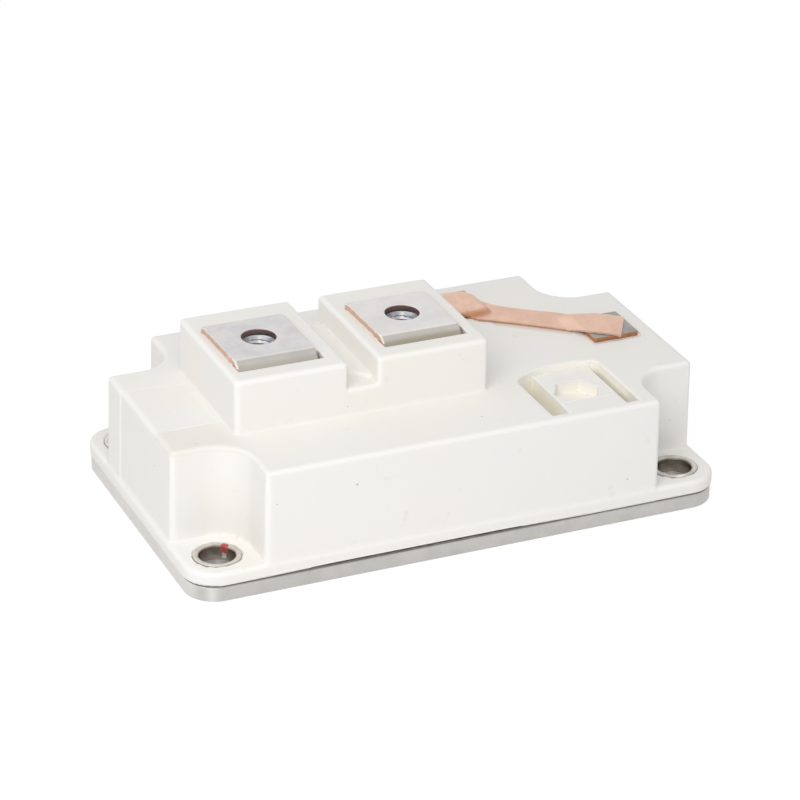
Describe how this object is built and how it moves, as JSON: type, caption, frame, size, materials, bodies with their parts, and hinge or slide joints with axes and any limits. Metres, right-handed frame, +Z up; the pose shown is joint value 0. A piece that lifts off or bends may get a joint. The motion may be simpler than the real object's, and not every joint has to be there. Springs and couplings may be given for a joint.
{
  "type": "power semiconductor module",
  "caption": "Single-switch power module: ivory moulded housing on a metal base plate, with screw terminals on a raised block, small control terminals and a shorting strap.",
  "frame": {"origin": "centre of the base plate's underside", "axes": "+Z up from the base plate to the terminals, +X along the module's length towards the small terminals, -Y the side with the terminal bends"},
  "size_m": [0.107, 0.062, 0.0358],
  "materials": {
    "nickel_plate": "satin nickel plating on copper",
    "adhesive": "dull cured silicone adhesive",
    "ivory_plastic": "fine matt moulded surface",
    "zinc_steel": "zinc plated steel",
    "plated_copper": "brushed nickel plating with bare copper at the sheared edges",
    "tinned_copper": "dull tin plating with bare copper at the sheared edges",
    "bare_copper": "matt soft copper foil",
    "red_insulation": "smooth insulation",
    "white_insulation": "smooth insulation",
    "gel": "clear soft gel with a glossy surface",
    "solder": "dull solder",
    "copper_foil": "etched copper",
    "alumina": "fine white ceramic",
    "silicon": "polished chip with a metallised top",
    "bond_aluminium": "drawn aluminium wire"
  },
  "bodies": {
    "root": {"base_plate": "nickel_plate", "seal_bead": "adhesive", "housing_flange": "ivory_plastic", "housing": "ivory_plastic", "terminal_block": "ivory_plastic", "sleeve_front_left": "zinc_steel", "sleeve_front_right": "zinc_steel", "sleeve_rear_left": "zinc_steel", "sleeve_rear_right": "zinc_steel", "emitter_terminal": "plated_copper", "collector_terminal": "plated_copper", "main_nut_left": "zinc_steel", "main_nut_right": "zinc_steel", "gate_terminal": "tinned_copper", "sense_terminal": "tinned_copper", "small_nut_right": "zinc_steel", "small_nut_rear": "zinc_steel", "shorting_strap": "bare_copper", "gate_wire": "red_insulation", "sense_wire": "white_insulation", "silicone_gel": "gel", "solder_left": "solder", "solder_right": "solder", "lower_copper_left": "copper_foil", "lower_copper_right": "copper_foil", "ceramic_left": "alumina", "ceramic_right": "alumina", "collector_copper_left": "copper_foil", "collector_copper_right": "copper_foil", "emitter_copper_left": "copper_foil", "emitter_copper_right": "copper_foil", "gate_copper_left": "copper_foil", "gate_copper_right": "copper_foil", "switch_chip_1": "silicon", "switch_chip_2": "silicon", "switch_chip_3": "silicon", "switch_chip_4": "silicon", "diode_chip_1": "silicon", "diode_chip_2": "silicon", "diode_chip_3": "silicon", "diode_chip_4": "silicon", "bond_wires_left": "bond_aluminium", "bond_wires_right": "bond_aluminium"}
  },
  "joints": []
}
